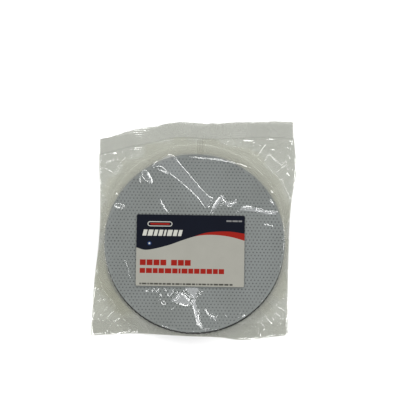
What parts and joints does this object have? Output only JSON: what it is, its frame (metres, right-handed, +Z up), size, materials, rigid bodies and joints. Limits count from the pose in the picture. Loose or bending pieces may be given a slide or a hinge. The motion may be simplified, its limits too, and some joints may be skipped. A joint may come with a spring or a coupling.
{
  "type": "clay pad in flow-wrap bag",
  "caption": "Round decontamination clay pad, a dimpled clay face on a black foam disc with a loop back, loose in a sealed clear pillow bag with a printed sticker.",
  "frame": {"origin": "middle of the bag's footprint, on the surface that the pack lies on", "axes": "+Z up, out of the printed sticker, through the pack's thickness; +Y towards the ribbed seal at the bag's upper end; +X to the sticker's right"},
  "size_m": [0.1718, 0.1851, 0.0167],
  "materials": {
    "clay": "satin",
    "foam": "matte",
    "loop_fabric": "matte",
    "laminate_glue": "satin",
    "clear_film": "gloss",
    "welded_film": "gloss",
    "label_paper": "satin",
    "label_glue": "satin"
  },
  "bodies": {
    "bag": {"bag_front_film": "clear_film", "bag_back_film_left": "clear_film", "bag_back_film_right": "clear_film", "back_fin_seal": "welded_film", "top_crimp_seal": "welded_film", "bottom_crimp_seal": "welded_film", "label_adhesive": "label_glue", "label_face": "label_paper"},
    "pad": {"clay_face": "clay", "clay_bond": "laminate_glue", "foam_core": "foam", "loop_bond": "laminate_glue", "loop_backing": "loop_fabric"}
  },
  "joints": [
    {"name": "pad_shift", "type": "slide", "parent": "bag", "child": "pad", "axis": [0, 1, 0], "range_m": [0, 0.008]}
  ]
}
